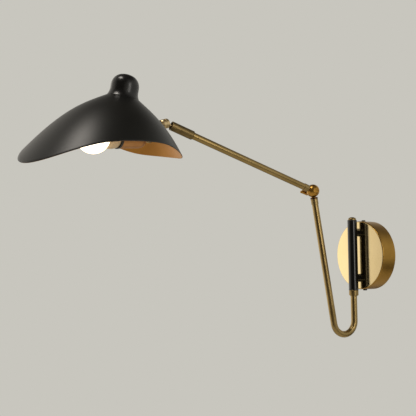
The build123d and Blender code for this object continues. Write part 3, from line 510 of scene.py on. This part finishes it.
# millimetres: dome holds (radius, height) and rim (how far ahead of the axis, height), each with its end slopes
shade = {
    "wall": 1.2, "crownRadius": 20, "crownDrop": 1.25, "spokes": 180, "rings": 44,
    "dome": [(20, -1.25), (40, -13.9), (61, -29.5), (96, -67.1), (120, -100.8), (145, -138.9)],
    "domeSlopes": (-0.62, -1.53),
    "rim": [(-98, -69.7), (-90, -70.6), (-65, -67.8), (-25, -61.6), (20, -65.3), (75, -80.2), (110, -101.8),
            (133, -120.5)],
    "rimSlopes": (-0.11, -0.87),
    "studRun": 27, "studEntry": 61, "studEntryDrop": 29.5,
    "farthest": 150, "halvings": 40, "slopeRun": 0.2, "edgeAngles": (45, 90, 135),
}
studRise = math.radians(pose["studSlope"])
ballAhead = -shade["studEntry"] - shade["studRun"] * math.cos(studRise)
ballAbove = -shade["studEntryDrop"] + shade["studRun"] * math.sin(studRise)
shadeOrigin = ball - (shadeFront * ballAhead + shadeUp * ballAbove) * millimetre


def curveThrough(points, endSlopes):  # a cubic through the points, carried on straight past its ends
    x, y = np.array(points, float).T
    gap = np.diff(x)
    rise = np.diff(y) / gap
    rows, right = np.eye(len(x)), np.zeros(len(x))
    right[0], right[-1] = endSlopes
    for i in range(1, len(x) - 1):
        rows[i, i - 1:i + 2] = gap[i], 2 * (gap[i - 1] + gap[i]), gap[i - 1]
        right[i] = 3 * (gap[i] * rise[i - 1] + gap[i - 1] * rise[i])
    slope = np.linalg.solve(rows, right)

    def heightAt(place):
        if place <= x[0]:
            return y[0] + slope[0] * (place - x[0])
        if place >= x[-1]:
            return y[-1] + slope[-1] * (place - x[-1])
        i = int(np.searchsorted(x, place)) - 1
        t = (place - x[i]) / gap[i]
        ends = (2 * t ** 3 - 3 * t ** 2 + 1) * y[i] + (3 * t ** 2 - 2 * t ** 3) * y[i + 1]
        return ends + gap[i] * ((t ** 3 - 2 * t ** 2 + t) * slope[i] + (t ** 3 - t ** 2) * slope[i + 1])

    return heightAt


domeLine = curveThrough(shade["dome"], shade["domeSlopes"])
rimLine = curveThrough(shade["rim"], shade["rimSlopes"])


def domeHeight(radius):
    return -shade["crownDrop"] if radius <= shade["crownRadius"] else domeLine(radius)


def rimRadius(angle):  # how far out from the dome's axis the rim is, this way round
    low, high = shade["crownRadius"], shade["farthest"]
    for _ in range(shade["halvings"]):
        middle = (low + high) / 2
        if domeHeight(middle) > rimLine(middle * math.cos(angle)):
            low = middle
        else:
            high = middle
    return (low + high) / 2


def wallProfile(edge):  # outer points down to the rim, round its edge, and back up inside
    wall, crown, run = shade["wall"], shade["crownRadius"], shade["slopeRun"]
    outer = []
    for step in range(shade["rings"] + 1):
        radius = crown + (edge - crown) * step / shade["rings"]
        back, ahead = max(radius - run, crown), radius + run
        rise = (domeHeight(ahead) - domeHeight(back)) / (ahead - back)
        outer.append((Vector((radius, domeHeight(radius))), Vector((-rise, 1)).normalized()))
    inner = [point - normal * wall for point, normal in outer]
    middle = (outer[-1][0] + inner[-1]) / 2
    half = (outer[-1][0] - inner[-1]) / 2
    along = Vector((outer[-1][1].y, -outer[-1][1].x)) * (wall / 2)
    angles = [math.radians(degrees) for degrees in shade["edgeAngles"]]
    outside = [point for point, _ in outer[:-1]] + [outer[-1][0] - along]
    edgeArc = [middle + half * math.cos(angle) + along * math.sin(angle) - along for angle in angles]
    inside = inner[:-1] + [inner[-1] - along]
    return outside + edgeArc + inside[::-1]


def makeShade():
    work = bmesh.new()
    spokes = []
    for step in range(shade["spokes"]):
        angle = 2 * math.pi * step / shade["spokes"]
        flat = shadeFront * math.cos(angle) + shadeSide * math.sin(angle)
        places = [shadeOrigin + (flat * point.x + shadeUp * point.y) * millimetre
                  for point in wallProfile(rimRadius(angle))]
        spokes.append([work.verts.new(place) for place in places])
    lastPainted = shade["rings"] + 1
    top = work.verts.new(shadeOrigin - shadeUp * shade["crownDrop"] * millimetre)
    under = work.verts.new(shadeOrigin - shadeUp * (shade["crownDrop"] + shade["wall"]) * millimetre)
    for step, spoke in enumerate(spokes):
        after = spokes[(step + 1) % len(spokes)]
        for i in range(len(spoke) - 1):
            face = work.faces.new((spoke[i], spoke[i + 1], after[i + 1], after[i]))
            face.material_index = 0 if i <= lastPainted else 1
        work.faces.new((top, spoke[0], after[0])).material_index = 0
        work.faces.new((under, after[-1], spoke[-1])).material_index = 1
    bmesh.ops.recalc_face_normals(work, faces=work.faces)
    mesh = meshFrom(work, "shade_spun")
    mesh.materials.append(finishes["shade_paint"])
    mesh.materials.append(insideLacquer)
    finishPiece(mesh, "shade_spun", ["shade"])


makeShade()
# millimetres up from the crown; the fullness squares the dome's shoulders a little
topCap = {"seat": -1.25, "radius": 20, "shoulder": 11, "dome": 19.2, "wall": 1.2, "foot": 3.2, "footHeight": 8,
          "footLift": 0.05, "fullness": 0.86, "corner": 0.15, "footSteps": 8, "outerSteps": 28, "innerSteps": 16,
          "segments": 96}


def capDome(height, radius, steps):  # from the shoulder up to the middle of the top
    points = []
    for step in range(steps + 1):
        angle = math.pi / 2 * step / steps
        across, up = [max(share, 0) ** topCap["fullness"] for share in (math.cos(angle), math.sin(angle))]
        points.append((topCap["shoulder"] + height * up, radius * across))
    return points


def makeTopCap():
    seat, radius, wall, foot = topCap["seat"], topCap["radius"], topCap["wall"], topCap["foot"]
    low = domeHeight(radius + foot) + topCap["footLift"]  # the foot lies on the dome and flares in to the wall
    outline = [(seat, radius - wall), (seat, radius)]
    for step in range(topCap["footSteps"] + 1):
        t = step / topCap["footSteps"]
        outline.append((low + (seat + topCap["footHeight"] - low) * t, radius + foot * (1 - t) ** 2))
    outline += capDome(topCap["dome"], radius, topCap["outerSteps"])
    outline += capDome(topCap["dome"] - wall, radius - wall, topCap["innerSteps"])[::-1]
    lathe("top_cap_spun", ["top_cap"], outline, shadeOrigin, shadeUp, topCap["segments"], topCap["corner"])


makeTopCap()
print("stage: shade")

# millimetres; the globe and the end of the housing are measured ahead of the holder's front
bulb = {"ahead": -0.2, "drop": 59.4, "globe": 23.75, "globeAhead": 38, "housingEnd": 21, "wall": 1,
        "outerSteps": 32, "innerSteps": 24}
bulbLine = turned(shadeFront, shadeSide, pose["bulbSlope"])
holderFront = shadeOrigin + (shadeFront * bulb["ahead"] - shadeUp * bulb["drop"]) * millimetre


def globeArc(radius, steps):  # from the globe's far end back to the housing
    sweep = math.pi - math.acos((bulb["globeAhead"] - bulb["housingEnd"]) / bulb["globe"])
    angles = [sweep * step / steps for step in range(steps + 1)]
    return [(bulb["globeAhead"] + radius * math.cos(angle), radius * math.sin(angle)) for angle in angles]


def makeGlobe():
    outline = globeArc(bulb["globe"], bulb["outerSteps"])
    outline += globeArc(bulb["globe"] - bulb["wall"], bulb["innerSteps"])[::-1]
    lathe("bulb_globe_opal", ["bulb_globe"], outline, holderFront, bulbLine)


makeGlobe()
print("stage: bulb")

# millimetres and degrees; the last row holds powers and shares that set how the wings taper and round off
wingNut = {
    "seat": 9.3, "bore": 2.6, "hub": 7.8, "hubTop": 4.6, "height": 7, "foot": 1, "lean": 3.5, "tipHeight": 6,
    "reach": 14.5, "root": 17, "tip": 3.6, "turn": 4, "start": 3.1, "stations": 22, "round": 24, "corner": 0.6,
    "crowding": 1.6, "taper": 1.25, "squareness": 0.6, "endShare": 0.16, "leastEnd": 0.02, "sharpAngle": 60,
}


def squared(share):  # a sine or cosine filled out, so that a section is a rounded oblong
    return math.copysign(abs(share) ** wingNut["squareness"], share)


def makeWingNut():  # a turned cone hub and two cast wings that thin, lean out and round off to their tips
    nut = wingNut
    origin, axis = elbow - sideways * nut["seat"] * millimetre, -sideways
    hubOutline = [(0, nut["bore"]), (0, nut["hub"]), (nut["height"], nut["hubTop"]), (nut["height"], nut["bore"])]
    lathe("wing_nut_hub", ["wing_nut"], hubOutline, origin, axis, corner=nut["corner"], material=castBrass)
    along = turned(outward, sideways, nut["turn"])
    across = axis.cross(along)
    top = nut["height"] - nut["foot"]
    work = bmesh.new()
    for way in (1, -1):
        rings = []
        for station in range(nut["stations"]):
            t = 1 - (1 - station / (nut["stations"] - 1)) ** nut["crowding"]
            reach = nut["start"] + (nut["reach"] - nut["start"]) * t
            share = reach / nut["reach"]
            halfWidth = nut["tip"] / 2 + (nut["root"] - nut["tip"]) / 2 * (1 - share) ** nut["taper"]
            low = nut["foot"] + (nut["lean"] - nut["foot"]) * share
            lift = max(0, (reach - nut["hubTop"]) / (nut["reach"] - nut["hubTop"]))
            high = top + (nut["lean"] + nut["tipHeight"] - top) * lift
            middle, halfHeight = (low + high) / 2, (high - low) / 2
            ending = min(1, max(0, (share - (1 - nut["endShare"])) / nut["endShare"]))
            shrink = math.sqrt(max(nut["leastEnd"], 1 - ending ** 2))
            ring = []
            for step in range(nut["round"]):
                angle = 2 * math.pi * step / nut["round"]
                flat = squared(math.cos(angle)) * halfWidth * shrink ** 0.5
                tall = squared(math.sin(angle)) * halfHeight * shrink
                place = along * way * reach + across * flat + axis * (middle + tall)
                ring.append(work.verts.new(origin + place * millimetre))
            rings.append(ring)
        for low, high in zip(rings, rings[1:]):
            for step in range(nut["round"]):
                after = (step + 1) % nut["round"]
                work.faces.new((low[step], low[after], high[after], high[step]))
        work.faces.new(rings[0])
        work.faces.new(rings[-1])
    bmesh.ops.recalc_face_normals(work, faces=work.faces)
    mesh = meshFrom(work, "wing_nut_wings")
    finishPiece(mesh, "wing_nut_wings", ["wing_nut"], castBrass, nut["sharpAngle"])


makeWingNut()
print("stage: wing nut")

# the other pieces keep their solids, with eased edges where they show, in millimetres
easing = {
    "canopy_screws": 0.2, "pivot_screw": 0.25, "nut_washer": 0.2, "lower_collar": 0.15,
    "elbow_ferrule": 0.1, "arm_ferrule": 0.1, "end_sleeve": 0.1, "elbow_ring": 0.2, "socket_ring": 0.1,
    "ball_socket": 0.2, "shade_boss": 0.2, "lampholder_ring": 0.25, "lampholder_bracket": 0.2,
    "holder_nuts": 0.2, "shade_nut": 0.2, "standoff_nuts": 0.2, "terminal_block": 0.4, "wall_plate": 0.2,
}
# pieces whose finish differs from the rest of their slot
ownFinish = {
    "elbow_lower_half": castBrass, "elbow_upper_half": castBrass, "pivot_screw": castBrass,
    # the sleeve's and the ring's darker finishes are painted shade
    "end_sleeve": shadedSleeveBrass, "elbow_ring": shadedElbowRing,
    # the ball joint's paler finish is a painted highlight
    "ball_stud": paleLitBallBrass, "ball_socket": paleLitBallBrass, "socket_ring": paleLitBallBrass,
}
for nodeName, width in easing.items():
    refined(nodeName, width, ownFinish.get(nodeName))

for nodeName, cadObject in frame["nodes"].items():
    cadObject.data.materials.clear()
    cadObject.data.materials.append(ownFinish.get(nodeName, finishes[slotOf[nodeName]]))
print("stage: small pieces")

# a pale matt floor well below, in metres: it fills in the undersides
floor = {"centre": (0, -0.3, -1.5), "radius": 2.3, "segments": 96, "colour": "#D8D5CC", "roughness": 0.8}


def makeFloor():
    work = bmesh.new()
    bmesh.ops.create_circle(work, cap_ends=True, radius=floor["radius"], segments=floor["segments"])
    piece = bpy.data.objects.new("floor", meshFrom(work, "floor"))
    piece.location = floor["centre"]
    bpy.context.scene.collection.objects.link(piece)
    shader = {"Roughness": floor["roughness"], "Base Color": linear(floor["colour"])}
    piece.data.materials.append(newMaterial("paleFloor", shader)[0])


lamps = {
    # high in front: the soft lights on the shade and its cap
    "keyLight": {
        "place": (0.22, -1.4, 2.05), "aim": (0.06, -0.5, 0.16), "size": (0.7, 0.5), "watts": 14,
        "colour": "#FFF8EE"},
    # tall and narrow to the right: the thin upright lines of light on the bearing and the tubes
    "rightWindow": {
        "place": (0.95, -0.1, 0.2), "aim": (0.0, -0.1, 0.1), "size": (0.26, 0.7), "watts": 1.9,
        "colour": "#FFFAF2"},
}


def softBox(name, setup):
    data = bpy.data.lights.new(name, "AREA")
    data.shape = "RECTANGLE"
    data.size, data.size_y = setup["size"]
    data.energy = setup["watts"]
    data.color = linear(setup["colour"])[:3]
    lamp = bpy.data.objects.new(name, data)
    lamp.location = setup["place"]
    lamp.visible_camera = False
    lamp.rotation_mode = "QUATERNION"
    lamp.rotation_quaternion = (Vector(setup["aim"]) - Vector(setup["place"])).to_track_quat("-Z", "Y")
    bpy.context.scene.collection.objects.link(lamp)


# metals mirror this room: the pale wall behind, a dim room in front, windows to the left and the right
# spans are shares of the direction's height or depth; a window's core and fade are degrees from its middle
room = {
    "wall": "#C8C6BE", "dim": "#433D35", "ceiling": "#4E4A43", "fill": "#E8E4DA", "fillStrength": 0.85,
    "flatten": (1.0, 1.0, 0.85), "ceilingSpan": (0.35, 0.9), "wallSpan": (-0.02, 0.12),
    "wallTopSpan": (0.88, 0.45), "wallFootSpan": (-0.12, -0.5),
    "windows": [
        {"towards": (-0.81, -0.58, 0.0), "core": 26, "fade": 62, "colour": "#FFF8EC", "strength": 0.75},
        {"towards": (-0.94, -0.34, 0.0), "core": 16, "fade": 27, "colour": "#FFFAF0", "strength": 1.42},
        {"towards": (1.0, 0.06, -0.04), "core": 10, "fade": 32, "colour": "#FFF6E6", "strength": 0.4},
    ],
}


def makeRoom():
    world = bpy.data.worlds.new("room")
    bpy.context.scene.world = world
    world.use_nodes = True
    tree = world.node_tree
    tree.nodes.clear()
    towards = addNode(tree, "ShaderNodeTexCoord").outputs["Generated"]
    parts = addNode(tree, "ShaderNodeSeparateXYZ", None, {0: towards})
    height, depth = parts.outputs["Z"], parts.outputs["Y"]
    flat = addNode(tree, "ShaderNodeVectorMath", {"operation": "MULTIPLY", 1: room["flatten"]}, {0: towards})
    level = addNode(tree, "ShaderNodeVectorMath", {"operation": "NORMALIZE"}, {0: flat.outputs["Vector"]})

    def layered(under, layers):  # each layer lies over the ones before it where its source passes from low to high
        for source, (low, high), over in layers:
            share = addNode(
                tree, "ShaderNodeMapRange",
                {"interpolation_type": "SMOOTHSTEP", "From Min": low, "From Max": high}, {"Value": source},
            )
            mix = addNode(tree, "ShaderNodeMix", {"data_type": "RGBA"}, {0: share.outputs["Result"]})
            for socket, colour in ((6, under), (7, over)):  # the mix node's two colours; its output 2 is their mix
                if isinstance(colour, tuple):
                    mix.inputs[socket].default_value = colour
                else:
                    tree.links.new(colour, mix.inputs[socket])
            under = mix.outputs[2]
        return under

    layers = [(height, room["ceilingSpan"], linear(room["ceiling"]))]
    for window in room["windows"]:
        middle = tuple(Vector(window["towards"]).normalized())
        facing = addNode(
            tree, "ShaderNodeVectorMath", {"operation": "DOT_PRODUCT", 1: middle}, {0: level.outputs["Vector"]}
        )
        light = tuple(c * window["strength"] for c in linear(window["colour"])[:3]) + (1.0,)
        span = tuple(math.cos(math.radians(window[key])) for key in ("fade", "core"))
        layers.append((facing.outputs["Value"], span, light))
    dim, wall = linear(room["dim"]), linear(room["wall"])
    backWall = layered(dim, [(height, room["wallTopSpan"], wall), (height, room["wallFootSpan"], dim)])
    seen = layered(dim, layers + [(depth, room["wallSpan"], backWall)])

    # the camera sees a plain pale wall, mirrors see the room, and dull surfaces get an even fill
    path = addNode(tree, "ShaderNodeLightPath")
    pale = addNode(tree, "ShaderNodeBackground", {"Color": wall, "Strength": 1.0})
    mirrored = addNode(tree, "ShaderNodeBackground", {"Strength": 1.0}, {"Color": seen})
    fill = addNode(tree, "ShaderNodeBackground", {"Color": linear(room["fill"]), "Strength": room["fillStrength"]})
    sharp = addNode(
        tree, "ShaderNodeMath", {"operation": "MAXIMUM"},
        {0: path.outputs["Is Glossy Ray"], 1: path.outputs["Is Transmission Ray"]},
    )
    first = addNode(
        tree, "ShaderNodeMixShader", None, {0: sharp.outputs[0], 1: fill.outputs[0], 2: mirrored.outputs[0]}
    )
    second = addNode(
        tree, "ShaderNodeMixShader", None,
        {0: path.outputs["Is Camera Ray"], 1: first.outputs[0], 2: pale.outputs[0]},
    )
    addNode(tree, "ShaderNodeOutputWorld", None, {"Surface": second.outputs[0]})


makeFloor()
for lampName, lampSetup in lamps.items():
    softBox(lampName, lampSetup)
makeRoom()
bpy.context.scene.view_settings.view_transform = "Standard"
print("stage: light")
